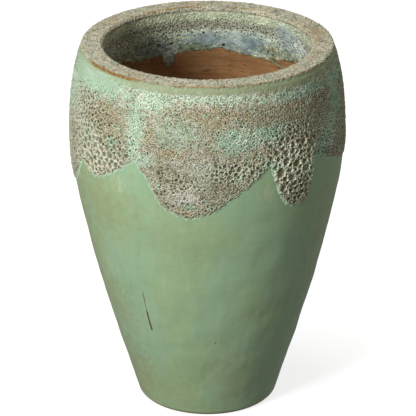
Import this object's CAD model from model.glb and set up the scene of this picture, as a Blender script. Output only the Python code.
"""Looks of a tall glazed garden jar: satin green glaze, a bubbled crater coat that runs down in
drips, a gritty rim, a pooled glaze inside the mouth and bare fired clay below it.

Angles round the jar are degrees from the front (-Y), growing towards +X. Surface fields are
worked out in millimetres on grids wrapped round the jar, and meshes are made in metres."""
from functools import reduce
from math import cos, pi, radians, sin

import bpy
import numpy as np
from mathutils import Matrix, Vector
from mathutils.bvhtree import BVHTree


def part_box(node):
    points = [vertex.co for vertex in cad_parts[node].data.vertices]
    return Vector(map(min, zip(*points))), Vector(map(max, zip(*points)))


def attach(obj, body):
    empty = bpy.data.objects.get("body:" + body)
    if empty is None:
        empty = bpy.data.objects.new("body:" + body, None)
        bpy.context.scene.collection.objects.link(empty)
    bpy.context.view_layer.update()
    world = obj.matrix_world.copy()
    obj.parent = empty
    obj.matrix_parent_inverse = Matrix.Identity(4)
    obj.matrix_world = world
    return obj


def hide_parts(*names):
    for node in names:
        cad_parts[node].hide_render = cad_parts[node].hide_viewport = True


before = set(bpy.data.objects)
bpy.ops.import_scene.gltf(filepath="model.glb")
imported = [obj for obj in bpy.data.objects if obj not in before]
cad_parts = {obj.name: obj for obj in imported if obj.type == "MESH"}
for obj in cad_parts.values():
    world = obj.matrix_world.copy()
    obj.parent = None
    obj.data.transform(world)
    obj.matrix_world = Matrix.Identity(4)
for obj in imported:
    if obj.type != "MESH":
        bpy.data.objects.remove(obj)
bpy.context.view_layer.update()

MM = 0.001
SEED = 4127
BODY = "root"
# Paints are mixed as they look in full light, so each finish says how dark its surface is.
GREEN_TONE, COAT_TONE, RIM_TONE, LIP_TONE, CLAY_TONE = 0.74, 0.64, 0.59, 0.96, 0.68


# -------- shapes read from the CAD model

RAY_START = 400.0                 # well outside the jar
RAY_LIMIT = 0.25                  # in metres: reaches the near wall only
PROFILE_ROWS, PROFILE_RAYS, PROFILE_DEGREE = 90, 16, 13
EDGE_STEP, EDGE_HALVINGS = 6.0, 7


def tree_of(*nodes):
    """Ray-casting tree of some CAD nodes together."""
    points, faces = [], []
    for node in nodes:
        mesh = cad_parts[node].data
        start = len(points)
        points.extend(v.co.copy() for v in mesh.vertices)
        faces.extend([start + i for i in p.vertices] for p in mesh.polygons)
    return BVHTree.FromPolygons(points, faces)


def radial(angle, radius, height):
    return Vector((radius * sin(radians(angle)), -radius * cos(radians(angle)), height)) * MM


def ray(angle, height, outside):
    """Start and direction of a level ray towards the wall, from outside or from the axis."""
    way = radial(angle, -1 if outside else 1, 0).normalized()
    return radial(angle, RAY_START if outside else 0, height), way


def all_angles(columns):
    """Angles of evenly spaced columns, all the way round from the back."""
    return np.arange(columns) * 360 / columns - 180


class Profile:
    """Smooth radius of a turned surface at any height, fitted to ray casts on its CAD solid."""

    def __init__(self, nodes, low, high, outside):
        tree = tree_of(*nodes)
        heights, radii = [], []
        for height in np.linspace(low, high, PROFILE_ROWS):
            hits = [tree.ray_cast(*ray(angle, height, outside))[0]
                    for angle in np.arange(PROFILE_RAYS) * 360 / PROFILE_RAYS]
            found = [hit.to_2d().length / MM for hit in hits if hit is not None]
            if found:
                heights.append(height)
                radii.append(max(found))
        self.radius = np.polynomial.Chebyshev.fit(heights, radii, PROFILE_DEGREE)
        self.slope = self.radius.deriv()

    def normal(self, heights):
        """Radial and vertical parts of the outward normal."""
        slope = self.slope(heights)
        length = np.hypot(1, slope)
        return 1 / length, -slope / length


def lower_edge(node, angles, low, high, outside):
    """Height of a coat's lower edge at each angle, found by bisection on its CAD solid."""
    tree = tree_of(node)

    def covered(angle, height):
        return tree.ray_cast(*ray(angle, height, outside), RAY_LIMIT)[0] is not None

    edge = []
    for angle in angles:
        top = high
        while top > low and covered(angle, top):
            top -= EDGE_STEP
        bottom, top = top, top + EDGE_STEP
        for _ in range(EDGE_HALVINGS):
            middle = (bottom + top) / 2
            if covered(angle, middle):
                top = middle
            else:
                bottom = middle
        edge.append(top)
    return np.array(edge)


# -------- fields on grids round the jar

NOISE_BAND = 0.5                  # width of a band of noise, on a logarithmic scale
EDGE_REACH = 24.0                 # distances from a coat's edge are true up to here
CRATER_OVERLAP = 0.1              # share of a crater's radius
CRATER_WALL = 0.55                # thickness of the wall left between two craters


def smooth(value, low, high):
    """Smooth step from 0 at low to 1 at high."""
    share = np.clip((value - low) / (high - low), 0, 1)
    return share * share * (3 - 2 * share)


def near_edge(inside_by, width):
    """Strength of the tint along a coat's edge, from how far inside it each cell lies."""
    return np.exp(-(np.clip(inside_by, 0, 60) / width) ** 2)


def skirt_below(raster, edge, reach_mm, drop):
    """Smooth line a little under a ragged edge, where the coat's hidden skirt ends."""
    reach = int(reach_mm / raster.step)
    lowest = np.min([np.roll(edge, k) for k in range(-reach, reach + 1, 2)], axis=0)
    soften = np.exp(-(np.arange(-reach, reach + 1) / (reach / 2)) ** 2)
    padded = np.concatenate([lowest[-reach:], lowest, lowest[:reach]])
    return np.convolve(padded, soften / soften.sum(), "valid") - drop


def meet_neighbours(raster, lift, inside_by, sink, sink_width, rim_lift):
    """Lift of a coat that sinks into the wall past its edge and ends flush with the rim's coat."""
    lift = np.where(inside_by > 0, lift, -sink * smooth(-inside_by, 0, sink_width))
    near_rim = smooth(raster.z, rim_low - 3, rim_low)
    return lift * (1 - near_rim) + rim_lift * near_rim


def noise_gain(pitch, wavelength):
    """How much of each pitch goes into a band of noise round a wavelength."""
    return np.exp(-np.log(np.maximum(pitch, 1e-6) * wavelength) ** 2 / NOISE_BAND)


class Raster:
    """Grid wrapped round the jar: rows are heights in mm, columns are angles in degrees."""

    def __init__(self, radius, low, high, columns, cell=0.5):
        self.columns, self.cell, self.low = columns, cell, low
        self.rows = int((high - low) / cell) + 1
        self.shape = (self.rows, columns)
        self.angles = all_angles(columns)
        self.step = 2 * pi * radius / columns
        self.per_degree = 2 * pi * radius / 360
        self.z = low + np.arange(self.rows)[:, None] * cell

    def noise(self, rng, wavelength, stretch=1.0):
        """Band of noise of unit spread; stretch above 1 draws it out vertically."""
        white = rng.standard_normal(self.shape)
        up = np.fft.fftfreq(self.rows, self.cell)[:, None] * stretch
        round_about = np.fft.rfftfreq(self.columns, self.step)[None, :]
        gain = noise_gain(np.hypot(up, round_about), wavelength)
        field = np.fft.irfft2(np.fft.rfft2(white) * gain, s=self.shape)
        return field / field.std()

    def at(self, field, angles, heights):
        """Field at any angles and heights, between cells."""
        column = (np.asarray(angles) + 180) / 360 * self.columns
        row = np.clip((np.asarray(heights) - self.low) / self.cell, 0, self.rows - 1.001)
        c0, r0 = np.floor(column).astype(int), np.floor(row).astype(int)
        c, r = column - c0, row - r0
        c0, c1 = c0 % self.columns, (c0 + 1) % self.columns
        top = field[r0 + 1, c0] * (1 - c) + field[r0 + 1, c1] * c
        return (field[r0, c0] * (1 - c) + field[r0, c1] * c) * (1 - r) + top * r

    def sampled(self, angles, heights, fields):
        """Named fields at the vertices of a grid, for the shader to read."""
        return {key: self.at(field, angles, heights) for key, field in fields.items()}

    def line_noise(self, rng, wavelength):
        """Noise along the angle only."""
        white = rng.standard_normal(self.columns)
        gain = noise_gain(np.fft.rfftfreq(self.columns, self.step), wavelength)
        field = np.fft.irfft(np.fft.rfft(white) * gain, n=self.columns)
        return field / field.std()

    def above_edge(self, edge):
        """Signed distance from a lower edge, above it positive."""
        after = np.roll(edge, -1)
        low, high = np.minimum(edge, after), np.maximum(edge, after)
        best = np.full(self.shape, EDGE_REACH ** 2)
        reach = int(EDGE_REACH / self.step)
        for shift in range(-reach, reach + 1):
            lo, hi = np.roll(low, shift)[None, :], np.roll(high, shift)[None, :]
            gap = np.maximum(np.maximum(self.z - hi, lo - self.z), 0)
            np.minimum(best, gap ** 2 + (shift * self.step) ** 2, out=best)
        return np.sqrt(best) * np.where(self.z > edge[None, :], 1, -1)

    def patches(self, spots, wobble, soft=0.35):
        """Blotches: each spot is angle, height, half width in degrees, half height, strength."""
        total = np.zeros(self.shape)
        for angle, height, half_angle, half_height, strength in spots:
            turn = (self.angles - angle + 180) % 360 - 180
            near = np.hypot(turn[None, :] / half_angle, (self.z - height) / half_height)
            mask = strength * smooth(1 - near + wobble, -soft, soft)
            np.maximum(total, mask, out=total)
        return total

    def window(self, row, column, reach):
        """Row and column indices near a cell, with their offsets in mm."""
        half_rows, half_columns = int(reach / self.cell) + 1, int(reach / self.step) + 1
        rows = np.arange(max(0, row - half_rows), min(self.rows, row + half_rows + 1))
        columns = np.arange(column - half_columns, column + half_columns + 1)
        up = (rows - row)[:, None] * self.cell
        along = (columns - column)[None, :] * self.step
        return np.ix_(rows, columns % self.columns), along, up

    def cell_of(self, angle, height):
        column = int(round((angle + 180) / 360 * self.columns)) % self.columns
        return int(round((height - self.low) / self.cell)), column

    def throw_craters(self, rng, smallest, largest, allowed, sizes, tries, placed=()):
        """Craters that hardly overlap, large ones first: a list of row, column, radius."""
        smallest, largest = (np.broadcast_to(size, self.shape) for size in (smallest, largest))
        clear = np.full(self.shape, 99.0)
        craters = []

        def add(row, column, radius, reach):
            cells, along, up = self.window(row, column, radius + reach)
            clear[cells] = np.minimum(clear[cells], np.hypot(along, up) - radius)
            craters.append((row, column, radius))

        for angle, height, radius in placed:
            add(*self.cell_of(angle, height), radius, sizes[0] + 1)
        for size in sizes:
            rows = rng.integers(0, self.rows, tries)
            columns = rng.integers(0, self.columns, tries)
            radii = size * rng.uniform(0.88, 1.12, tries)
            good = allowed[rows, columns] & (clear[rows, columns] > radii * (1 - CRATER_OVERLAP))
            good &= (smallest[rows, columns] <= radii) & (radii <= largest[rows, columns])
            for k in np.flatnonzero(good):
                if clear[rows[k], columns[k]] > radii[k] * (1 - CRATER_OVERLAP):
                    add(rows[k], columns[k], radii[k], size + 1)
        return craters

    def stamp(self, rng, craters):
        """Bowl depth (0 to 1), pale rim (0 to 1), radius and random shade of the craters.

        Where two craters meet, a thin wall is left standing between them."""
        first, second = np.full(self.shape, 9.0), np.full(self.shape, 9.0)
        size, shade = np.zeros(self.shape), np.zeros(self.shape)
        for row, column, radius in craters:
            cells, along, up = self.window(row, column, radius * 1.7)
            turn = np.arctan2(up, along)
            phases = rng.uniform(0, 2 * pi, 4)
            wobble = (0.12 * np.cos(2 * turn + phases[0]) + 0.07 * np.cos(3 * turn + phases[1])
                      + 0.04 * np.cos(5 * turn + phases[2]))
            out = np.hypot(along, up) / radius * (1 + wobble)
            nearer = out < first[cells]
            second[cells] = np.minimum(second[cells], np.maximum(first[cells], out))
            size[cells] = np.where(nearer, radius, size[cells])
            shade[cells] = np.where(nearer, 0.3 + 0.7 * phases[3] / (2 * pi), shade[cells])
            first[cells] = np.where(nearer, out, first[cells])
        scale = np.maximum(size, 0.5)
        apart = (second - first) * scale / 2
        bowl = np.clip(1 - first ** 2, 0, 1) ** 0.55
        bowl *= smooth(apart, 0.1, CRATER_WALL + 0.15 * scale)
        ridge = np.exp(-((first - 1) * scale / CRATER_WALL - 0.3) ** 2)
        crest = np.maximum(ridge, (first < 1.1) * (1 - smooth(apart, 0.1, CRATER_WALL)))
        return bowl, crest * (size > 0), size, shade


# -------- meshes

def build_mesh(name, points, quads, ngons=(), fields=None):
    """Object from points in mm, an array of quads and a few larger polygons."""
    mesh = bpy.data.meshes.new(name)
    mesh.from_pydata((points * MM).tolist(), [], quads.tolist() + [n.tolist() for n in ngons])
    mesh.polygons.foreach_set("use_smooth", [True] * len(quads) + [False] * len(ngons))
    mesh.validate()
    for key, values in (fields or {}).items():
        layer = mesh.attributes.new(key, "FLOAT", "POINT")
        layer.data.foreach_set("value", np.asarray(values, np.float32).ravel())
    piece = bpy.data.objects.new(name, mesh)
    bpy.context.scene.collection.objects.link(piece)
    return piece


def ring_points(angles, radii, heights):
    """Points in mm, in rows by columns."""
    turn, radii, heights = np.broadcast_arrays(np.radians(angles), radii, heights)
    return np.stack([radii * np.sin(turn), -radii * np.cos(turn), heights], -1)


def raised(profile, angles, heights, lift):
    """Points at some distance from a turned surface, along its normal."""
    out, up = profile.normal(heights)
    return ring_points(angles, profile.radius(heights) + out * lift, heights + up * lift)


def shell(name, front, back, wrap, fields):
    """Closed piece with a fine front grid and a coarser back grid of the same columns."""
    grid = np.concatenate([front, back[::-1]])
    rows, columns = grid.shape[:2]
    index = np.arange(rows * columns).reshape(rows, columns)
    left, right = (index, np.roll(index, -1, 1)) if wrap else (index[:, :-1], index[:, 1:])
    quads = np.stack([left, right, np.roll(right, -1, 0), np.roll(left, -1, 0)], -1)
    ends = [] if wrap else [index[::-1, 0], index[:, -1]]
    values = {key: np.concatenate([field, np.zeros((len(back), columns))])
              for key, field in fields.items()}
    return build_mesh(name, grid.reshape(-1, 3), quads.reshape(-1, 4), ends, values)


def seat(piece, material, slot, *nodes):
    """Give a piece its material, body, material slot and the CAD nodes it stands for."""
    piece.data.materials.append(material)
    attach(piece, BODY)
    if nodes:
        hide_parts(*nodes)
    return piece


# -------- materials

def linear(value):
    """Light intensity of a 0-255 screen value."""
    value /= 255
    return value / 12.92 if value <= 0.04045 else ((value + 0.055) / 1.055) ** 2.4


class Graph:
    """Node tree. Every helper takes sockets or plain values and returns a socket."""

    def __init__(self, tree):
        self.tree = tree

    def node(self, kind, **settings):
        made = self.tree.nodes.new(kind)
        for key, value in settings.items():
            setattr(made, key, value)
        return made

    def feed(self, socket, value):
        if isinstance(value, bpy.types.NodeSocket):
            self.tree.links.new(value, socket)
        else:
            socket.default_value = value

    def step(self, value, low, high, start=0.0, end=1.0, shape="SMOOTHSTEP"):
        """Goes from start to end as the value goes from low to high."""
        made = self.node("ShaderNodeMapRange", interpolation_type=shape)
        for slot, item in enumerate((value, low, high, start, end)):
            self.feed(made.inputs[slot], item)
        return made.outputs["Result"]

    def split(self, vector):
        made = self.node("ShaderNodeSeparateXYZ")
        self.feed(made.inputs[0], vector)
        return made.outputs


class Finish(Graph):
    """Material of a surface. A paint is three 0-255 screen values as they look in full light."""

    def __init__(self, name, tone=1.0, roughness=0.5, specular=0.5, coat=0.0, coat_roughness=0.2):
        self.tone = tone
        self.material = bpy.data.materials.new(name)
        self.material.use_nodes = True
        super().__init__(self.material.node_tree)
        self.shader = self.tree.nodes["Principled BSDF"].inputs
        for key, value in (("Roughness", roughness), ("Specular IOR Level", specular),
                           ("Coat Weight", coat), ("Coat Roughness", coat_roughness)):
            self.shader[key].default_value = value
        self.place = self.node("ShaderNodeTexCoord").outputs["Object"]

    def colour(self, paint):
        """Linear colour of a paint. Sockets and linear colours pass through."""
        if isinstance(paint, tuple) and len(paint) == 3:
            return tuple(linear(c) * self.tone for c in paint) + (1.0,)
        return paint

    def field(self, name):
        return self.node("ShaderNodeAttribute", attribute_name=name).outputs["Fac"]

    def texture(self, kind, vector, size_mm, **settings):
        """Texture node whose features are size_mm across."""
        made = self.node(kind, **settings)
        self.feed(made.inputs["Vector"], vector)
        made.inputs["Scale"].default_value = 1 / (size_mm * MM)
        return made

    def noise(self, size_mm, detail=3.0, rough=0.55, stretch=(1, 1, 1), where=None):
        """Noise of about 0 to 1 whose features are size_mm across."""
        scaled = self.node("ShaderNodeVectorMath", operation="MULTIPLY")
        self.feed(scaled.inputs[0], where or self.place)
        scaled.inputs[1].default_value = stretch
        made = self.texture("ShaderNodeTexNoise", scaled.outputs[0], size_mm)
        made.inputs["Detail"].default_value = detail
        made.inputs["Roughness"].default_value = rough
        return made.outputs["Fac"]

    def warped(self, size_mm, amount_mm):
        """Coordinates pushed about by noise."""
        made = self.texture("ShaderNodeTexNoise", self.place, size_mm)
        shift = self.node("ShaderNodeVectorMath", operation="MULTIPLY_ADD")
        self.feed(shift.inputs[0], made.outputs["Color"])
        shift.inputs[1].default_value = (amount_mm * MM,) * 3
        self.feed(shift.inputs[2], self.place)
        return shift.outputs[0]

    def cells(self, size_mm, where):
        """Distance to the walls of a foam of cells."""
        made = self.texture("ShaderNodeTexVoronoi", where, size_mm, feature="DISTANCE_TO_EDGE")
        return made.outputs["Distance"]

    def math(self, operation, first, second=0.0):
        made = self.node("ShaderNodeMath", operation=operation)
        self.feed(made.inputs[0], first)
        self.feed(made.inputs[1], second)
        return made.outputs[0]

    def times(self, *items):
        return reduce(lambda total, item: self.math("MULTIPLY", total, item), items)

    def plus(self, *items):
        return reduce(lambda total, item: self.math("ADD", total, item), items)

    def mix(self, share, first, second, blend="MIX"):
        made = self.node("ShaderNodeMix", data_type="RGBA", blend_type=blend, clamp_factor=True)
        self.feed(made.inputs["Factor"], share)
        self.feed(made.inputs[6], self.colour(first))
        self.feed(made.inputs[7], self.colour(second))
        return made.outputs[2]

    def shaded(self, colour, factor):
        return self.mix(1.0, colour, factor, blend="MULTIPLY")

    def blend(self, value, low, high, first, second):
        """Turns from the first colour to the second as the value goes from low to high."""
        return self.mix(self.step(value, low, high), first, second)

    def lay(self, colour, *layers, within=None):
        """Colours laid over another: each is a value, where it starts to show and where it shows
        in full, its strength and its colour."""
        for value, low, high, strength, paint in layers:
            share = self.step(value, low, high)
            if within is not None:
                share = self.times(share, within)
            colour = self.mix(self.times(share, strength), colour, paint)
        return colour

    def spread(self, colour, *zones):
        """Colours spread over another by fields: each is a field, its strength and its colour."""
        for name, strength, paint in zones:
            colour = self.mix(self.times(self.field(name), strength), colour, paint)
        return colour

    def surface(self, colour, roughness, height, depth_mm, strength):
        """Link the shader: colour, roughness and a bump of the given height in mm."""
        self.feed(self.shader["Base Color"], colour)
        self.feed(self.shader["Roughness"], roughness)
        bump = self.node("ShaderNodeBump")
        bump.inputs["Strength"].default_value = strength
        bump.inputs["Distance"].default_value = depth_mm * MM
        self.feed(bump.inputs["Height"], height)
        self.feed(self.shader["Normal"], bump.outputs["Normal"])
        return self.material


SCAR_RADIUS = 0.17                # radius of the jar in metres where the scars are


def scar(finish, angle_a, height_a, angle_b, height_b, half_width, ragged):
    """Mask of a thin mark on the outside between two points, in the plane facing it."""
    middle = radians((angle_a + angle_b) / 2)
    place = finish.split(finish.warped(9, ragged))
    turn = finish.math("ARCTAN2", place["X"], finish.times(place["Y"], -1.0))
    lift = (height_b - height_a) * MM
    share = finish.times(finish.plus(place["Z"], -height_a * MM), 1 / lift)
    line = finish.plus(finish.times(share, radians(angle_b - angle_a)), radians(angle_a))
    off = finish.math("ABSOLUTE", finish.plus(turn, finish.times(line, -1.0)))
    width = half_width * MM / SCAR_RADIUS
    across = finish.step(off, width, width * 0.35)
    ends = finish.step(finish.math("ABSOLUTE", finish.plus(share, -0.5)), 0.52, 0.42)
    facing = finish.step(finish.math("ABSOLUTE", finish.plus(turn, -middle)), 0.5, 0.3)
    return finish.times(across, ends, facing)


def green_finish():
    f = Finish("green_glaze", tone=GREEN_TONE, specular=0.35, coat=0.12, coat_roughness=0.3)
    drift = f.noise(75, stretch=(1, 1, 0.5))
    streak = f.noise(12, detail=4, stretch=(1, 1, 0.1))
    level = f.noise(9, stretch=(0.12, 0.12, 1))
    grain, mottle = f.noise(1.6), f.noise(14, detail=5)
    scuff = f.noise(9, detail=5, rough=0.7, stretch=(1, 1, 0.22))
    colour = f.lay(
        f.blend(drift, 0.4, 0.6, (150, 174, 133), (148, 177, 142)),
        (streak, 0.5, 0.8, 0.4, (168, 188, 158)), (streak, 0.5, 0.2, 0.4, (132, 156, 120)),
        (level, 0.5, 0.75, 0.2, (138, 160, 124)), (mottle, 0.52, 0.7, 0.32, (160, 178, 138)))
    colour = f.spread(colour, ("olive", f.step(mottle, 0.2, 0.6), (146, 144, 100)),
                      ("smudge", f.step(scuff, 0.42, 0.66), (192, 198, 166)),
                      ("halo", 0.5, (134, 176, 142)))
    colour = f.lay(colour, (grain, 0.64, 0.8, 0.3, (116, 138, 104)))
    # a long nick, wide below and thin above, and two specks
    marks = scar(f, -33.2, 158, -34.2, 196, 2.7, 2.2)
    for mark in ((-33.9, 184, -34.6, 230, 1.0, 2.2), (-21, 286.5, -15, 288, 0.9, 0.8),
                 (4.4, 144, 5.4, 148, 1.2, 0.8)):
        marks = f.math("MAXIMUM", marks, scar(f, *mark))
    colour = f.mix(marks, colour, f.blend(streak, 0.4, 0.6, (70, 60, 36), (96, 76, 42)))
    colour = f.shaded(colour, f.step(f.split(f.place)["Z"], 0.0, 0.34, 0.88, 1.0))
    rough = f.plus(f.step(mottle, 0.3, 0.7, 0.38, 0.5), f.times(f.step(grain, 0.5, 0.8), 0.1))
    height = f.plus(f.times(mottle, 0.3), f.times(streak, 0.15), f.times(level, 0.25),
                    f.times(grain, 0.08), f.times(marks, -0.7))
    return f.surface(colour, rough, height, 0.5, 0.45)


def crater_finish():
    f = Finish("crater_glaze", tone=COAT_TONE, specular=0.25)
    mint, cream, plain, high, wide = map(f.field, ("mint", "cream", "plain", "high", "wide"))
    cell = f.cells(3.4, f.warped(4, 3.0))
    fine, speck = f.noise(1.2, detail=2), f.noise(1.9, detail=1)
    grain, cloud = f.noise(3.0, rough=0.6), f.noise(15, detail=5, rough=0.6)
    drift = f.noise(11, rough=0.5, where=f.warped(30, 20))
    frayed = f.times(f.plus(speck, -0.5), f.plus(0.75, f.times(wide, -0.5)))
    pit = f.step(f.plus(f.field("pit"), frayed), 0.12, 0.75)
    crest = f.step(f.plus(f.field("crest"), f.times(frayed, -1.0)), 0.2, 0.9)
    rough_part = f.plus(1.0, f.times(plain, -0.8))
    # tan and pale grey ground
    ground = f.lay(
        f.blend(cloud, 0.42, 0.58, (146, 146, 112), (184, 176, 160)),
        (grain, 0.5, 0.6, 0.65, (130, 118, 84)), (drift, 0.52, 0.64, 0.55, (112, 98, 72)))
    warm = f.blend(grain, 0.42, 0.6, (184, 160, 106), (130, 104, 66))
    ashen = f.blend(grain, 0.42, 0.58, (104, 98, 60), (152, 148, 106))
    ground = f.spread(ground, ("rust", 0.9, warm), ("dark", 1.0, ashen))
    # mint ground
    green = f.lay(f.blend(grain, 0.4, 0.58, (176, 210, 184), (136, 184, 148)),
                  (cloud, 0.48, 0.64, 0.7, (206, 228, 206)))
    ground = f.spread(ground, ("mint", 1.0, green), ("teal", 0.85, (108, 176, 142)),
                      ("chalk", 1.0, (214, 208, 204)))
    # Ridges are rubbed pale and hollows keep the dirt, each in the hue of its own ground.
    whitish = f.mix(f.field("ivory"), (250, 255, 228), (290, 292, 262))
    pale = f.mix(f.plus(0.42, f.times(cream, 0.42)), ground, whitish)
    dirty = f.shaded(ground, (0.22, 0.2, 0.16, 1))
    murky = f.mix(f.step(grain, 0.4, 0.6, 0.3, 0.9), dirty, f.mix(0.3, ground, (150, 160, 112)))
    colour = f.lay(ground, (cell, 0.17, 0.04, 0.9, pale),
                   (f.plus(cell, f.times(fine, 0.12)), 0.25, 0.4, 0.85, dirty),
                   (speck, 0.55, 0.68, 0.6, dirty), (speck, 0.44, 0.32, 0.6, pale),
                   within=rough_part)
    colour = f.mix(f.times(plain, 0.8), colour, f.mix(mint, (148, 160, 120), (168, 188, 162)))
    colour = f.lay(colour, (high, 0.55, 0.9, 0.6, pale), (high, 0.42, 0.12, 0.6, dirty))
    # craters of the mesh
    colour = f.mix(f.times(pit, 0.9), colour, f.mix(wide, dirty, murky))
    colour = f.mix(f.times(crest, f.plus(0.5, f.times(cream, 0.4))), colour, pale)
    sooty = f.times(f.field("umber"), f.step(drift, 0.4, 0.56, 0.25, 1.0), 0.75)
    colour = f.mix(sooty, colour, f.shaded(colour, (0.62, 0.56, 0.5, 1)))
    colour = f.spread(colour, ("edge", f.step(fine, 0.3, 0.52, 0.2, 0.95), (212, 238, 206)))
    height = f.plus(f.times(cell, f.plus(-1.5, f.times(plain, 1.3))), f.times(fine, 0.35),
                    f.times(f.plus(f.times(grain, 0.5), f.times(speck, -0.6)), rough_part))
    return f.surface(colour, f.step(fine, 0.3, 0.7, 0.5, 0.75), height, 1.0, 1.0)


def rim_finish():
    f = Finish("rim_glaze", tone=RIM_TONE, specular=0.3)
    fine, grain, cloud = f.noise(1.1, detail=2), f.noise(3.2), f.noise(18, detail=4)
    cell = f.cells(2.8, f.warped(3, 1.6))
    speck, drift = f.noise(1.9, detail=1), f.noise(34)
    soot = f.noise(13, detail=4, rough=0.6, where=f.warped(20, 9))
    colour = f.lay(
        f.blend(cloud, 0.38, 0.62, (162, 166, 138), (192, 188, 164)),
        (drift, 0.5, 0.62, 0.7, (204, 184, 150)), (drift, 0.48, 0.38, 0.6, (146, 150, 124)),
        (soot, 0.5, 0.66, 0.7, (116, 112, 90)), (soot, 0.46, 0.3, 0.6, (214, 206, 178)),
        (grain, 0.52, 0.62, 0.8, (126, 122, 90)), (speck, 0.55, 0.68, 0.85, (84, 78, 56)),
        (speck, 0.44, 0.3, 0.7, (224, 222, 200)), (cell, 0.14, 0.02, 0.6, (214, 210, 190)))
    broken = f.blend(grain, 0.4, 0.6, (112, 82, 30), (166, 126, 56))
    colour = f.spread(colour, ("green", 1.0, (160, 176, 138)), ("pit", 0.8, (88, 78, 56)),
                      ("broken", f.step(fine, 0.22, 0.42), broken))
    height = f.plus(f.times(fine, 0.5), f.times(grain, 0.6), f.times(cell, -0.4))
    return f.surface(colour, f.step(fine, 0.3, 0.7, 0.45, 0.75), height, 0.9, 0.8)


def lip_finish():
    f = Finish("lip_glaze", tone=LIP_TONE, coat=0.4, coat_roughness=0.15)
    fine, grain, cloud = f.noise(1.3, detail=2), f.noise(3.4), f.noise(18, detail=4)
    speck, streak = f.noise(2.0, detail=1), f.noise(5, stretch=(0.5, 0.5, 1.0))
    cell = f.cells(3.2, f.warped(3, 2.0))
    calm = f.plus(1.0, f.times(f.math("MAXIMUM", f.field("pool"), f.field("slate")), -0.85))
    colour = f.lay(f.blend(cloud, 0.4, 0.6, (138, 150, 118), (184, 192, 158)),
                   (grain, 0.5, 0.62, 0.6, (104, 110, 80)))
    colour = f.spread(
        colour, ("band", 1.0, f.blend(streak, 0.4, 0.62, (66, 60, 46), (118, 112, 92))),
        ("strip", 1.0, (186, 198, 176)),
        ("frost", 1.0, f.blend(streak, 0.4, 0.6, (128, 142, 148), (204, 214, 208))),
        ("pool", 1.0, f.blend(cloud, 0.35, 0.65, (106, 124, 128), (160, 176, 172))),
        ("slate", 1.0, f.blend(streak, 0.4, 0.6, (84, 104, 110), (134, 150, 150))),
        ("moss", 1.0, f.blend(streak, 0.42, 0.6, (46, 62, 38), (104, 124, 84))),
        ("rust", 1.0, (150, 92, 42)))
    pale = f.mix(0.5, colour, (230, 236, 214))
    dirty = f.shaded(colour, (0.24, 0.24, 0.19, 1))
    colour = f.lay(colour, (cell, 0.16, 0.04, 0.65, pale), (cell, 0.25, 0.42, 0.6, dirty),
                   (speck, 0.55, 0.68, 0.5, dirty), (speck, 0.44, 0.32, 0.4, pale), within=calm)
    colour = f.spread(colour, ("crest", 0.5, pale))
    colour = f.lay(colour, (f.plus(f.field("pit"), f.times(fine, 0.3)), 0.3, 0.8, 0.95,
                            f.mix(0.75, dirty, (40, 38, 28))))
    colour = f.spread(colour, ("edge", f.step(grain, 0.35, 0.55), (74, 66, 38)))
    rough = f.step(f.field("pool"), 0, 1, 0.5, 0.22)
    height = f.plus(f.times(fine, 0.2), f.times(grain, 0.6), f.times(cell, -0.8, calm))
    return f.surface(colour, rough, height, 0.8, 0.8)


def clay_finish():
    f = Finish("fired_clay", tone=CLAY_TONE, specular=0.25)
    rings = f.noise(6, detail=4, stretch=(0.04, 0.04, 1))
    fine, grain, cloud = f.noise(0.8, detail=2), f.noise(3), f.noise(30, detail=4)
    gouges = f.noise(7, detail=2, stretch=(0.3, 0.3, 1.6), where=f.warped(25, 12))
    gouge = f.step(gouges, 0.62, 0.7)
    colour = f.lay(
        f.blend(cloud, 0.3, 0.7, (150, 108, 68), (168, 126, 82)),
        (rings, 0.45, 0.7, 0.4, (126, 88, 56)), (grain, 0.58, 0.7, 0.5, (108, 74, 44)),
        (fine, 0.62, 0.75, 0.5, (184, 142, 102)))
    colour = f.mix(f.times(gouge, 0.6), colour, (70, 46, 26))
    # painted brighter further down, where less light reaches it
    colour = f.shaded(colour, f.step(f.split(f.place)["Z"], 0.45, 0.49, 1.35, 0.96))
    # a stray streak of glaze on the bare wall
    run = f.times(scar(f, 137, 485, 148, 498, 5.0, 3.0), f.step(grain, 0.4, 0.5))
    colour = f.mix(run, colour, (122, 168, 136))
    height = f.plus(f.times(rings, 1.2), f.times(fine, 0.25), f.times(grain, 0.4),
                    f.times(gouge, -0.5))
    return f.surface(colour, f.step(fine, 0.3, 0.7, 0.75, 0.92), height, 0.9, 0.9)


# -------- the outside, in the CAD frame

foot_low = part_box("green_glaze")[0].z / MM
glaze_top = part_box("green_glaze")[1].z / MM
rim_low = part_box("rim_glaze")[0].z / MM
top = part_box("rim_glaze")[1].z / MM
coat_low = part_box("crater_glaze")[0].z / MM
WALLS = ("lower_wall", "middle_wall", "upper_wall", "shoulder_wall")
HOLLOW_LOW = 46                   # the hollow's profile starts over the rounded corner

outside = Profile(("green_glaze",), foot_low + 0.5, glaze_top - 0.5, outside=True)
hollow = Profile(WALLS + ("rim_ring", "base_corner_coil"), HOLLOW_LOW, rim_low - 2,
                 outside=False)

rng = np.random.default_rng(SEED)
EDGE_ANGLES = all_angles(720)
SEARCH = 8                        # edges are sought from this far below to this far under the rim
coat_edge = lower_edge("crater_glaze", EDGE_ANGLES, coat_low - SEARCH, rim_low - SEARCH,
                       outside=True)
wall = Raster(205, coat_low - 14, top, columns=2640)
edge_line = np.interp(wall.angles, EDGE_ANGLES, coat_edge, period=360) + (
    0.9 * wall.line_noise(rng, 22) + 0.6 * wall.line_noise(rng, 8) + 0.5 * wall.line_noise(rng, 4))
# small changes to the drips: angle, half width in degrees and rise
for angle, half_angle, rise in ((-26, 4.0, 7.0), (-19.5, 4.0, -5.0), (-8, 3.0, 1.5),
                                (3, 5.0, -4.0)):
    edge_line += rise * np.exp(-((wall.angles - angle) / half_angle) ** 2)
inside_coat = wall.above_edge(edge_line)

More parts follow.
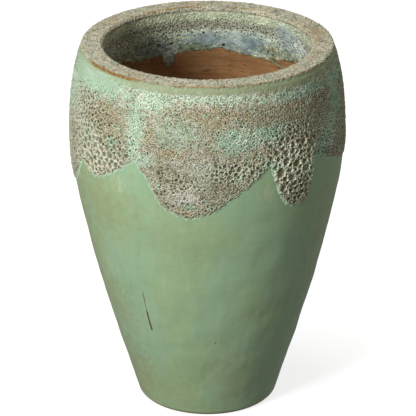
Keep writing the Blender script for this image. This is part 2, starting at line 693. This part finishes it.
# Colour zones of the crater coat: angle, height, half width in degrees, half height, strength.
MINT = [
    (-24, 556, 9, 17, 1), (4, 563, 22, 8, 1), (42, 554, 22, 8, 0.9), (-60, 558, 27, 20, 1),
    (-80, 530, 11, 32, 0.9), (-31, 508, 4, 52, 1), (-12, 512, 9, 22, 0.5), (12, 498, 8, 18, 1),
    (24, 503, 9, 12, 1), (54, 467, 5, 8, 1), (59, 479, 6, 10, 1), (64, 491, 6, 12, 1),
    (69, 520, 5, 30, 0.9), (73, 549, 9, 12, 0.9), (-58, 478, 6, 12, 0.35), (0, 455, 5, 9, 0.4),
    (-28, 462, 5, 10, 0.8), (27, 452, 3.5, 11, 1), (53, 450, 4.5, 16, 1), (58, 464, 6, 12, 1),
    (49, 424, 2.5, 20, 0.8), (12, 441, 3, 6, 0.5)]
RUST = [
    (-46, 495, 7, 16, 1), (-50, 516, 13, 20, 0.75), (-25, 500, 4, 17, 0.9), (-14, 480, 6, 9, 0.9),
    (3, 498, 4, 17, 0.8), (-1, 533, 17, 15, 0.85), (36, 530, 22, 22, 0.6), (46, 463, 4, 9, 1),
    (-8, 385, 15, 9, 0.7), (20, 470, 8, 12, 0.5), (38, 428, 4, 8, 0.6), (-48, 430, 6, 10, 0.6),
    (70, 535, 8, 10, 0.7), (45, 480, 5, 12, 0.8), (74, 470, 8, 26, 0.8)]
CHALK = [(-10, 410, 6, 11, 0.9), (-6, 445, 7, 40, 0.25), (-3, 463, 4, 8, 0.4)]
DARK = [
    (42, 404, 9, 24, 0.75), (41, 530, 20, 24, 0.4), (72, 478, 14, 52, 0.8),
    (-60, 515, 4, 14, 0.35), (6, 433, 9, 12, 0.6), (-1, 420, 7, 14, 0.5), (-21, 436, 4, 12, 0.6),
    (-14, 447, 5, 9, 0.5), (-17, 403, 4, 12, 0.5), (4, 398, 7, 6, 0.5), (-4, 425, 16, 28, 0.4),
    (-50, 500, 9, 20, 0.45)]
UMBER = [
    (-15, 442, 8, 16, 1), (3, 422, 7, 18, 0.8), (-17, 412, 5, 14, 0.9), (12, 452, 6, 8, 0.3),
    (2, 402, 6, 7, 0.7), (-2, 474, 10, 9, 0.4), (-49, 512, 9, 18, 0.7), (-57, 470, 8, 12, 0.4)]
TEAL = [
    (-43, 481, 3, 6, 0.8), (-7, 396, 3.5, 5, 0.7), (13, 498, 8, 13, 0.6), (74, 550, 8, 10, 0.5),
    (25, 504, 7, 9, 0.6), (53, 452, 4, 15, 0.9), (58, 468, 5, 11, 0.8), (63, 484, 5, 14, 0.8),
    (69, 512, 5, 18, 0.7), (27, 450, 3, 8, 0.6)]
# The front is placed by hand. The back is a mirrored copy of it, moved up a little.
FRONT_REACH = 86.0                # degrees to either side
MIRROR_TURN, MIRROR_RISE = 176, 4


def all_round(spots):
    """Hand-placed spots of the front, and the mirrored ones that fall behind its reach."""
    copies = [((MIRROR_TURN - a + 180) % 360 - 180, z + MIRROR_RISE, *rest)
              for a, z, *rest in spots]
    return spots + [spot for spot in copies if abs(spot[0]) > FRONT_REACH]


# Where the craters are coarse, in the same form: the strength is millimetres of added radius.
COARSE = [
    (38, 446, 11, 40, 4.2), (-54, 448, 15, 34, 4.2), (-60, 500, 12, 32, 2), (12, 450, 10, 13, 1.8),
    (-13, 428, 9, 20, 0.8), (36, 480, 10, 26, 1.5), (64, 460, 12, 28, 1.3), (-8, 388, 16, 14, 0.8),
    (-74, 460, 10, 40, 2.2)]
CREAM = [
    (38, 450, 12, 34, 1), (-52, 446, 14, 34, 0.9), (14, 452, 9, 14, 0.8), (-58, 500, 14, 30, 0.5),
    (-14, 428, 10, 20, 0.6), (38, 402, 10, 22, 0.35), (4, 560, 30, 10, 0.7),
    (-24, 552, 9, 18, 0.7), (-31, 500, 4, 50, 0.4), (8, 440, 15, 30, 0.3), (59, 480, 8, 22, 0.7),
    (18, 500, 10, 14, 0.8), (30, 470, 12, 30, 0.5)]
IVORY = [(38, 444, 12, 36, 0.9), (40, 400, 9, 16, 0.4), (66, 460, 10, 30, 0.5)]

warp = 0.22 * wall.noise(rng, 16) + 0.2 * wall.noise(rng, 6) + 0.16 * wall.noise(rng, 2.8)
CRISP = 0.16
mint = wall.patches(all_round(MINT), warp, CRISP)
rust = wall.patches(all_round(RUST), warp[::-1], CRISP)
dark = wall.patches(all_round(DARK), np.roll(warp, 700, 1))
mint *= 1 - 0.8 * wall.patches([(22, rim_low + 2, 55, 11, 1.0)], 0.3 * warp)
slow = wall.noise(rng, 26)
mint = np.maximum(mint, 0.55 * smooth(slow, 1.0, 1.8))
rust = np.maximum(rust, 0.6 * smooth(-slow, 0.6, 1.5)) * (1 - 0.8 * mint)

# The coat is thin and plain right under the rim, and thickest along the low ends of the drips.
plain = smooth(wall.z + 2 * warp, rim_low - 8, rim_low - 4)
plain = np.maximum(plain, 0.8 * wall.patches([(-66, 564, 24, 14, 1.0), (46, 569, 24, 8, 0.8)],
                                             0.5 * warp))
lobes = 1 - smooth(inside_coat, 4, 24)
coarse = wall.patches(all_round(COARSE), 0.6 * warp, 0.4)
largest = 1.55 + 0.3 * slow + coarse
largest -= 0.5 * smooth(wall.z, 540, 556) + 0.5 * wall.patches([(-13, 512, 9, 22, 1.0)], warp)
largest = np.clip(largest, 0.95, 5.8)
smallest = np.clip(largest * 0.34, 0.7, 1.4)
# angle, height and radius
BIG_CRATERS = [
    (33.5, 456, 6.4), (38.7, 449, 6.6), (30.9, 440, 8), (43.8, 437, 6.8), (36.3, 429, 7),
    (29.7, 462, 4), (32.2, 477, 4.2), (36.8, 470, 4.6), (41, 464, 4.4), (44.4, 408, 4.8),
    (36, 408, 4.4), (40.8, 393, 4.2), (40.6, 418, 4), (46.5, 424, 4), (35.3, 394, 3.6),
    (45.4, 390, 3.4), (-16, 435, 4.6), (-10.5, 436, 4), (-12, 420, 4), (-20, 447, 3.8),
    (-17.5, 418, 3.2), (-5, 428, 3.2), (13, 455, 4.4), (18.5, 448, 4.4), (9.2, 443, 4.4),
    (3.5, 462, 3.4), (23, 459, 3.6), (-50.5, 453, 6.2), (-43.5, 457, 5.6), (-60, 452, 5.6),
    (-55, 437, 5.6), (-46.5, 440, 5.2), (-66, 461, 5.4), (-63, 507, 4.6), (-46.5, 517, 4),
    (-71, 472, 5), (-41, 471, 4.6), (-56.5, 470, 5.4), (-49, 474, 4.4), (-64, 483, 4.6),
    (-40, 445, 4.2), (57, 447, 3.6), (60.5, 457, 3.4)]
allowed = (inside_coat > 0.2) & (plain < 0.6) & (wall.z < rim_low - 7)
placed = [(angle, height, radius) for angle, height, radius in all_round(BIG_CRATERS)
          if inside_coat[wall.cell_of(angle, height)] > radius * 0.45]
SIZES = (5.2, 4.6, 4.1, 3.7, 3.3, 3.0, 2.7, 2.4, 2.1, 1.9, 1.7, 1.5, 1.3, 1.15, 1.0, 0.85)
craters = wall.throw_craters(rng, smallest, largest, allowed, SIZES, tries=26000,
                             placed=placed)
bowl, crest, size, crater_shade = wall.stamp(rng, craters)
# Nothing in the crust is round: every crater is pushed about a little.
push_along = 0.36 * wall.noise(rng, 6) + 0.16 * wall.noise(rng, 3)
push_up = 0.36 * wall.noise(rng, 6) + 0.16 * wall.noise(rng, 3)
pushed = wall.angles[None, :] + push_along / wall.per_degree, wall.z + push_up
bowl, crest, size = [wall.at(field, *pushed) for field in (bowl, crest, size)]

full = 1.6 + 0.5 * lobes - 0.9 * smooth(wall.z, 500, rim_low) + 0.26 * coarse
rolled = smooth(inside_coat, -1.2, 4.5)
bumps = 0.55 * wall.noise(rng, 4.2) + 0.45 * wall.noise(rng, 2.6)
lumps = 0.25 * wall.noise(rng, 14) + 0.46 * bumps
surface = full * rolled + lumps * np.clip(inside_coat / 1.5, 0, 1) * (1 - 0.85 * plain)
depth = np.clip(0.6 * size, 0.4, 3.2) * (0.5 + 0.5 * crater_shade)
surface += crest * np.clip(0.15 + 0.16 * size, 0, 0.95) * (1 - plain)
surface = np.maximum(surface - bowl * depth, 0.15 * rolled)
surface = meet_neighbours(wall, surface, inside_coat, 0.55, 1.6, 0.35)
deep_pit = bowl * np.clip(0.4 + 0.2 * size, 0, 0.9) * (0.35 + 0.65 * crater_shade) * (1 - plain)

COAT_COLUMNS, COAT_ROWS = 1440, 190
COAT_SIDES = "back_left", "front_left", "front_right", "back_right"
COAT_BACK = 0.9                   # how deep the coat's hidden back lies under the green surface
COAT_DIP = 0.04                   # how far a quarter's outermost columns sink under the next one
coat_fields = dict(
    pit=smooth(deep_pit, 0.05, 0.8), wide=smooth(size, 2.6, 5.5), plain=plain,
    crest=crest * smooth(size, 0.2, 2.0) * (1 - plain),
    high=np.clip(0.5 + 0.22 * bumps, 0, 1) * (1 - plain) + 0.5 * plain,
    mint=mint, rust=rust, dark=dark * (1 - mint), edge=near_edge(inside_coat, 2.5),
    chalk=wall.patches(all_round(CHALK), np.roll(warp, 300, 1)),
    teal=wall.patches(all_round(TEAL), warp, CRISP),
    cream=wall.patches(all_round(CREAM), warp), ivory=wall.patches(all_round(IVORY), warp),
    umber=wall.patches(all_round(UMBER), np.roll(warp, 500, 1)))
crater_material = crater_finish()
skirt_line = skirt_below(wall, edge_line, reach_mm=14, drop=3.0)
per_side = COAT_COLUMNS // len(COAT_SIDES)
share = np.linspace(0, 1, COAT_ROWS)[:, None]
for number, side in enumerate(COAT_SIDES):
    # One column more on each side dips under the next quarter, so that no gap shows between.
    angles = (np.arange(-1, per_side + 2) + number * per_side) * 360 / COAT_COLUMNS - 180
    skirt = np.interp(angles, wall.angles, skirt_line, period=360)
    heights = skirt + (rim_low - skirt) * share
    lift = wall.at(surface, angles, heights)
    lift[:, [0, -1]] -= COAT_DIP
    back = raised(outside, angles, heights[:: (COAT_ROWS - 1) // 9], -COAT_BACK)
    piece = shell("crater_coat_" + side, raised(outside, angles, heights, lift), back, False,
                  wall.sampled(angles, heights, coat_fields))
    seat(piece, crater_material, "crater_glaze", "crater_glaze")

# The green coat: a thrown form, so slightly uneven, with faint throwing ridges under the glaze.
body = Raster(160, foot_low, glaze_top, columns=1000, cell=1.0)
uneven = (0.3 * body.noise(rng, 90) + 0.05 * body.noise(rng, 30)
          + 0.07 * body.noise(rng, 16, stretch=0.12) + 0.03 * body.noise(rng, 20, stretch=8))
uneven *= smooth(body.z, 0, 25) * (1 - smooth(body.z, 360, 400))
under_edge = -body.above_edge(np.interp(body.angles, EDGE_ANGLES, coat_edge, period=360))
SMUDGES = [
    (-40, 416, 4, 13, 0.6), (24, 408, 4, 11, 0.6), (-72, 400, 3, 12, 0.5), (-57, 256, 6, 18, 0.45),
    (-63, 236, 4, 12, 0.35), (120, 372, 4, 12, 0.5), (-155, 430, 4, 12, 0.5),
    (-98, 420, 5, 12, 0.5)]
OLIVE = [
    (-84, 300, 18, 190, 0.65), (-58, 60, 18, 50, 0.55), (-58, 370, 24, 46, 0.45),
    (150, 120, 30, 80, 0.35), (62, 250, 9, 110, 0.3), (-20, 340, 30, 26, 0.2),
    (14, 70, 14, 46, 0.35), (-60, 185, 12, 46, 0.5), (-30, 40, 16, 34, 0.3)]
blur = 0.35 * body.noise(rng, 20)
GREEN_COLUMNS, GREEN_ROWS = 340, 250
GREEN_BACK = 1.15                 # a little less than the glaze's thickness
FOOT_EDGE, FOOT_EDGE_HEIGHT = 0.8, 1.6
angles = all_angles(GREEN_COLUMNS)
heights = np.linspace(foot_low, glaze_top, GREEN_ROWS)[:, None]
lift = body.at(uneven, angles, heights)
lift -= FOOT_EDGE * (1 - smooth(heights, foot_low, foot_low + FOOT_EDGE_HEIGHT))
front = ring_points(angles, outside.radius(heights) + outside.normal(heights)[0] * lift, heights)
few = heights[:: (GREEN_ROWS - 1) // 30]
back = ring_points(angles, outside.radius(few) - GREEN_BACK, few)
piece = shell("green_coat", front, back, True, body.sampled(angles, heights, dict(
    olive=body.patches(OLIVE, blur, soft=0.8), smudge=body.patches(SMUDGES, blur),
    halo=near_edge(under_edge, 3.0))))
seat(piece, green_finish(), "green_glaze", "green_glaze")

# -------- the rim

OUTER_ROUND, INNER_ROUND = 3.0, 5.0
LIP_COAT = 1.2                    # thickness of the glaze inside the mouth
OVERHANG = 0.5                    # how far the rim's coat reaches below its lower line
CORNER_GAP = 0.1                  # in radians: each rounding leaves this out, beside the wall


def rim_path():
    """Outline of the rim's glaze from low outside, over the lip, to low inside."""
    low, high = rim_low - OVERHANG, top - OUTER_ROUND
    path = [(outside.radius(z), z) for z in np.linspace(low, high, 6)]
    centre = outside.radius(high) - OUTER_ROUND
    path += [(centre + OUTER_ROUND * cos(t), high + OUTER_ROUND * sin(t))
             for t in np.linspace(CORNER_GAP, pi / 2, 7)]
    high = top - INNER_ROUND
    middle = hollow.radius(high) - LIP_COAT + INNER_ROUND
    path += [(r, top) for r in np.linspace(centre - 1, middle + 1, 28)]
    path += [(middle - INNER_ROUND * sin(t), high + INNER_ROUND * cos(t))
             for t in np.linspace(0, pi / 2 - CORNER_GAP, 9)]
    path += [(hollow.radius(z) - LIP_COAT, z) for z in np.linspace(high, low, 4)]
    return np.array(path)


path = rim_path()
along = np.concatenate([[0], np.cumsum(np.hypot(*np.diff(path, axis=0).T))])
RIM_ROWS, RIM_COLUMNS, RIM_BACK = 56, 1160, 1.1
steps = np.linspace(0, along[-1], RIM_ROWS)
line = np.stack([np.interp(steps, along, path[:, 0]), np.interp(steps, along, path[:, 1])], -1)
tangent = np.gradient(line, axis=0)
tangent /= np.hypot(*tangent.T)[:, None]
normal = np.stack([tangent[:, 1], -tangent[:, 0]], -1)
# The rim's grid has distances along its outline for heights.
rim = Raster(178, 0, along[-1] + 2, columns=2240)
rim_lumps = 0.26 * rim.noise(rng, 9) + 0.2 * rim.noise(rng, 4) + 0.14 * rim.noise(rng, 2.2)
RIM_PIT = 2.3
rim_craters = rim.throw_craters(rng, RIM_PIT * 0.3, RIM_PIT + 0.8 * rim.noise(rng, 30),
                                rim.noise(rng, 14) > -0.2,
                                (2.6, 2.1, 1.7, 1.4, 1.2, 1.0, 0.8), tries=1600)
rim_bowl, rim_crest, rim_size = rim.stamp(rng, rim_craters)[:3]
side_length = top - rim_low
on_top = smooth(rim.z, side_length - 5, side_length - 2)
rim_bowl, rim_crest = rim_bowl * on_top, rim_crest * on_top
rim_lift = rim_lumps + 0.22 * rim_crest - rim_bowl * np.clip(0.4 * rim_size, 0.2, 0.9)
ends = smooth(rim.z, 0, 3) * (1 - smooth(rim.z, along[-1] - 3, along[-1]))
rim_lift = rim_lift * ends + 0.1
outer_arris = side_length - OUTER_ROUND + 2.6
inner_arris = along[-1] - outer_arris - 1.8
wander = 0.5 * rim.noise(rng, 18, stretch=0.3)


def arris_line(centre, half_width, spans):
    """Brown line where the glaze breaks over an arris: a span is two angles and a strength."""
    total = np.zeros(rim.columns)
    for start, end, strength in spans:
        turn = (rim.angles - (start + end) / 2 + 180) % 360 - 180
        total = np.maximum(total, strength * smooth((end - start) / 2 - np.abs(turn), -4, 4))
    return smooth(half_width - np.abs(rim.z - centre + wander), -0.8, 0.9) * total[None, :]


OUTER_BREAK = [
    (-66, -30, 1), (-30, -18, 0.35), (-18, 12, 0.75), (12, 62, 0.5), (100, 150, 0.7),
    (170, 215, 0.8), (240, 262, 0.6)]
INNER_BREAK = [(186, 216, 0.95), (155, 168, 0.8), (222, 250, 0.35), (-50, 60, 0.5), (90, 130, 0.4)]
BROAD_BREAK = [(-64, -34, 1), (196, 212, 0.8)]
STAINS = [
    (106, 24, 10, 9, 0.5), (93, 30, 5, 6, 0.5), (70, 26, 6, 5, 0.35), (-122, 24, 12, 8, 0.3),
    (-40, 20, 8, 6, 0.25), (190, 26, 10, 7, 0.3)]
broken = np.max([rim.patches(STAINS, 0.4 * rim.noise(rng, 6)),
                 arris_line(outer_arris, 1.5, OUTER_BREAK),
                 arris_line(outer_arris - 1.0, 2.4, BROAD_BREAK),
                 arris_line(inner_arris, 1.6, INNER_BREAK)], axis=0)
greenish = 0.9 * (1 - smooth(rim.z, outer_arris - 2.5, outer_arris)) + 0.35 * smooth(
    rim.noise(rng, 24), 0.8, 1.8)
angles = all_angles(RIM_COLUMNS)
lift = rim.at(rim_lift, angles, steps[:, None])
front = ring_points(angles, line[:, :1] + normal[:, :1] * lift, line[:, 1:] + normal[:, 1:] * lift)
inset = (line - normal * RIM_BACK)[::5]
back = ring_points(angles, inset[:, :1], inset[:, 1:])
piece = shell("rim_coat", front, back, True, rim.sampled(angles, steps[:, None], dict(
    pit=smooth(rim_bowl * np.clip(0.3 * rim_size, 0, 1), 0.1, 0.7),
    broken=broken, green=greenish)))
seat(piece, rim_finish(), "rim_glaze", "rim_glaze")

# -------- inside the mouth

lip_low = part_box("lip_glaze")[0].z / MM
lip_edge = lower_edge("lip_glaze", EDGE_ANGLES, lip_low - SEARCH, rim_low - SEARCH,
                      outside=False)
mouth = Raster(166, lip_low - 10, rim_low + 2, columns=2088)
lip_line = np.interp(mouth.angles, EDGE_ANGLES, lip_edge, period=360)
lip_line = lip_line + 1.0 * mouth.line_noise(rng, 20) + 0.5 * mouth.line_noise(rng, 8)
in_lip = mouth.above_edge(lip_line)
POOL = [
    (181, 522, 13, 16, 1), (158, 521, 13, 20, 1), (170, 520, 9, 16, 0.9), (60, 520, 14, 18, 0.8),
    (-20, 515, 16, 16, 0.8), (-80, 520, 14, 18, 0.9), (110, 520, 8, 14, 0.7),
    (131, 554, 8, 14, 0.6), (168, 528, 8, 7, 0.7)]
SLATE = [
    (-151, 515, 15, 18, 1), (-161, 485, 3, 22, 1), (20, 515, 15, 16, 0.8),
    (-110, 515, 12, 18, 0.7), (133, 535, 7, 26, 0.7), (150, 512, 6, 8, 0.5)]
MOSS = [
    (-174, 507, 8, 8, 0.9), (138, 510, 12, 10, 0.9), (-130, 512, 10, 10, 0.8),
    (-60, 505, 10, 9, 0.8), (85, 508, 10, 9, 0.8), (0, 503, 12, 8, 0.7), (-142, 535, 18, 22, 0.5),
    (176, 501, 7, 5, 0.7)]
LIP_RUST = [
    (146, 518, 2.5, 3, 0.6), (139, 500, 6, 3, 0.9), (-100, 498, 6, 3, 0.6), (40, 498, 6, 3, 0.6)]
FROST = [
    (124, 538, 12, 20, 0.8), (-58, 536, 12, 20, 0.7), (-125, 522, 22, 18, 0.5),
    (-104, 545, 22, 20, 0.35)]
# angle, height and radius
BLACK_PITS = [
    (-154, 518, 3.4), (-161, 518, 2.9), (171.5, 513, 3), (166, 517, 1.6), (-173, 530, 1.5),
    (-178, 535, 2.4), (165, 529, 1.5), (150, 531, 1.7), (-162, 528, 1.3), (-166, 535, 1.2),
    (120, 522, 2.2), (-140, 526, 2), (75, 518, 2.2), (30, 524, 2.4), (-45, 520, 2),
    (-95, 525, 2.4)]
sway = 0.26 * mouth.noise(rng, 18, stretch=0.6) + 0.16 * mouth.noise(rng, 7, stretch=0.6)
sway += 0.07 * mouth.noise(rng, 3)
pool, slate = mouth.patches(POOL, sway), mouth.patches(SLATE, sway)
level = mouth.z + 6 * sway
band = 0.9 * smooth(level, 539, 544) * (1 - smooth(level, 554, 561))
strip = 0.8 * smooth(level, 527, 532) * (1 - smooth(level, 538, 543)) * (1 - slate)
pitted = (in_lip > 1.5) & (mouth.z < rim_low - 2) & (pool < 0.5)
pitted &= mouth.noise(rng, 16) + 1.2 * strip + 0.5 * band > 0.3
lip_fine = mouth.throw_craters(rng, 0.6, 1.9 - 0.7 * smooth(np.abs(mouth.z - 540), 12, 26),
                               pitted, (1.8, 1.5, 1.3, 1.1, 0.9, 0.75), tries=5200,
                               placed=BLACK_PITS)
lip_bowl, lip_crest, lip_size = mouth.stamp(rng, lip_fine)[:3]
lip_lumps = 0.22 * mouth.noise(rng, 10) + 0.24 * mouth.noise(rng, 4.5)
lip_lumps += 0.12 * mouth.noise(rng, 2.6)
thick = (1.3 + 0.35 * pool) * smooth(in_lip, -0.8, 3.5)
lip_lift = thick + lip_lumps * np.clip(in_lip / 2, 0, 1) * (1 - 0.6 * pool)
lip_lift += 0.25 * lip_crest - lip_bowl * np.clip(0.6 * lip_size, 0.2, 1.2)
lip_lift = meet_neighbours(mouth, np.maximum(lip_lift, 0.15), in_lip, 0.5, 1.5, LIP_COAT)
LIP_COLUMNS, LIP_ROWS, LIP_BACK = 1060, 84, 0.7
angles = all_angles(LIP_COLUMNS)
skirt_line = skirt_below(mouth, lip_line, reach_mm=10, drop=2.5)
skirt = np.interp(angles, mouth.angles, skirt_line, period=360)
heights = skirt + (rim_low - skirt) * np.linspace(1, 0, LIP_ROWS)[:, None]
lift = mouth.at(lip_lift, angles, heights)
front = raised(hollow, angles, heights, -lift)
few = heights[::12]
back = ring_points(angles, hollow.radius(few) + LIP_BACK, few)
piece = shell("lip_coat", front, back, True, mouth.sampled(angles, heights, dict(
    pool=pool, slate=slate, moss=mouth.patches(MOSS, sway[::-1]),
    rust=mouth.patches(LIP_RUST, sway), band=band, strip=strip,
    frost=mouth.patches(FROST, sway), edge=near_edge(in_lip, 2.0), crest=lip_crest,
    pit=smooth(lip_bowl * np.clip(0.45 * lip_size, 0, 1), 0.1, 0.6))))
seat(piece, lip_finish(), "lip_glaze", "lip_glaze")

# -------- bare clay

clay = clay_finish()
for node in ("rim_ring", "foot_ring", "base_slab", "base_corner_coil"):
    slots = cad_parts[node].data.materials
    slots.clear()
    slots.append(clay)

# The four walls are one thrown form: finger ridges climb round it in a flat spiral.
wall_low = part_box("lower_wall")[0].z / MM
wall_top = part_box("shoulder_wall")[1].z / MM
inside = Raster(150, wall_low, wall_top, columns=900, cell=1.0)
RIDGE_PITCH, RIDGE = 9.0, 0.32
turns = inside.z / RIDGE_PITCH - inside.angles / 360 + 0.3 * inside.noise(rng, 60, stretch=0.5)
ridges = RIDGE * np.cos(2 * pi * turns) * (0.6 + 0.4 * np.clip(inside.noise(rng, 50), -1, 1))
near_lip = smooth(inside.z, 440, 470)
ridges += 0.5 * inside.noise(rng, 110) * (1 - 0.8 * near_lip)
ridges += 0.12 * inside.noise(rng, 12, stretch=0.2) + 0.1 * inside.noise(rng, 5)
limit = 1.25 - 0.8 * near_lip     # the glaze of the lip lies on the wall, so it stays flat there
ridges = np.clip(ridges, -limit, limit)
WALL_COLUMNS, WALL_ROWS, WALL_BACK = 300, 261, 1.3
SOUND = 48.0                      # the profile of the hollow is true above this height
angles = all_angles(WALL_COLUMNS)
heights = np.linspace(wall_low, wall_top, WALL_ROWS)[:, None]
sound_heights = np.maximum(heights, SOUND)
slope = hollow.radius(SOUND + 4) - hollow.radius(SOUND)
radii = hollow.radius(sound_heights) - (sound_heights - heights) / 4 * slope
front = ring_points(angles, radii + inside.at(ridges, angles, heights), heights)
few = heights[:: (WALL_ROWS - 1) // 26]
back = ring_points(angles, outside.radius(few) - WALL_BACK, few)
piece = shell("thrown_wall", front[:, ::-1], back[:, ::-1], True, {})
seat(piece, clay, "fired_clay", *WALLS)

# -------- stage, light and camera

WHITE, FLOOR_GREY = (1, 1, 1, 1), (0.3, 0.3, 0.3, 1)
FLOOR_HALF, FLOOR_GLOW = 9.0, 0.78
DARK_DISC = 0.05, 0.09            # the floor starts to glow between these, so the drain is dark
FILL_BELOW, FILL_ABOVE, FILL_SLOPE = 0.3, 0.56, 0.6
FILL_COLOUR = (0.82, 0.82, 0.775, 1)
corners = np.array([(-1, -1, 0), (1, -1, 0), (1, 1, 0), (-1, 1, 0)]) * FLOOR_HALF / MM
floor = build_mesh("floor", corners, np.arange(4)[None, :])
f = Finish("floor", roughness=0.9, specular=0.1)
f.feed(f.shader["Base Color"], FLOOR_GREY)
f.feed(f.shader["Emission Color"], WHITE)
from_middle = f.node("ShaderNodeVectorMath", operation="LENGTH")
f.feed(from_middle.inputs[0], f.place)
f.feed(f.shader["Emission Strength"],
       f.step(from_middle.outputs["Value"], *DARK_DISC, 0.0, FLOOR_GLOW, shape="LINEAR"))
floor.data.materials.append(f.material)
# The white floor is for the eye: it throws no light back at the jar.
floor.visible_diffuse = False
floor.visible_glossy = False

world = bpy.data.worlds.new("studio")
bpy.context.scene.world = world
world.use_nodes = True
world.node_tree.nodes.clear()
sky = Graph(world.node_tree)


def background(colour, strength):
    made = sky.node("ShaderNodeBackground")
    sky.feed(made.inputs["Color"], colour)
    sky.feed(made.inputs["Strength"], strength)
    return made.outputs[0]


# The camera sees white; the jar is lit by a fill that is stronger from above.
rise = sky.split(sky.node("ShaderNodeTexCoord").outputs["Generated"])["Z"]
fill = sky.step(rise, -FILL_SLOPE, FILL_SLOPE, FILL_BELOW, FILL_ABOVE, shape="LINEAR")
pick = sky.node("ShaderNodeMixShader")
for slot, item in enumerate((sky.node("ShaderNodeLightPath").outputs["Is Camera Ray"],
                             background(FILL_COLOUR, fill), background(WHITE, 1.0))):
    sky.feed(pick.inputs[slot], item)
sky.feed(sky.node("ShaderNodeOutputWorld").inputs["Surface"], pick.outputs[0])


def soft_light(name, place, size, power):
    light = bpy.data.lights.new(name, "AREA")
    light.shape = "DISK"
    light.size = size
    light.energy = power
    lamp = bpy.data.objects.new(name, light)
    lamp.location = place
    lamp.rotation_euler = (MIDDLE - Vector(place)).to_track_quat("-Z", "Y").to_euler()
    bpy.context.scene.collection.objects.link(lamp)


MIDDLE = Vector((0, 0, 0.32))
soft_light("key", (-2.4, -3.0, 2.1), 1.2, 230)
soft_light("top", (-0.5, 0.3, 3.4), 1.8, 60)

AIM = Vector((0, 0, 0.290))
DISTANCE, ELEVATION = 4.618, radians(23.3)
camera_data = bpy.data.cameras.new("camera")
camera_data.sensor_width = 36.0
camera_data.lens = 257.4
camera_data.shift_x = 0.0015
camera_data.shift_y = 0.0231
camera = bpy.data.objects.new("camera", camera_data)
camera.location = AIM + Vector((0, -DISTANCE * cos(ELEVATION), DISTANCE * sin(ELEVATION)))
camera.rotation_euler = (AIM - camera.location).to_track_quat("-Z", "Y").to_euler()
bpy.context.scene.collection.objects.link(camera)
bpy.context.scene.camera = camera
bpy.context.scene.view_settings.view_transform = "Standard"
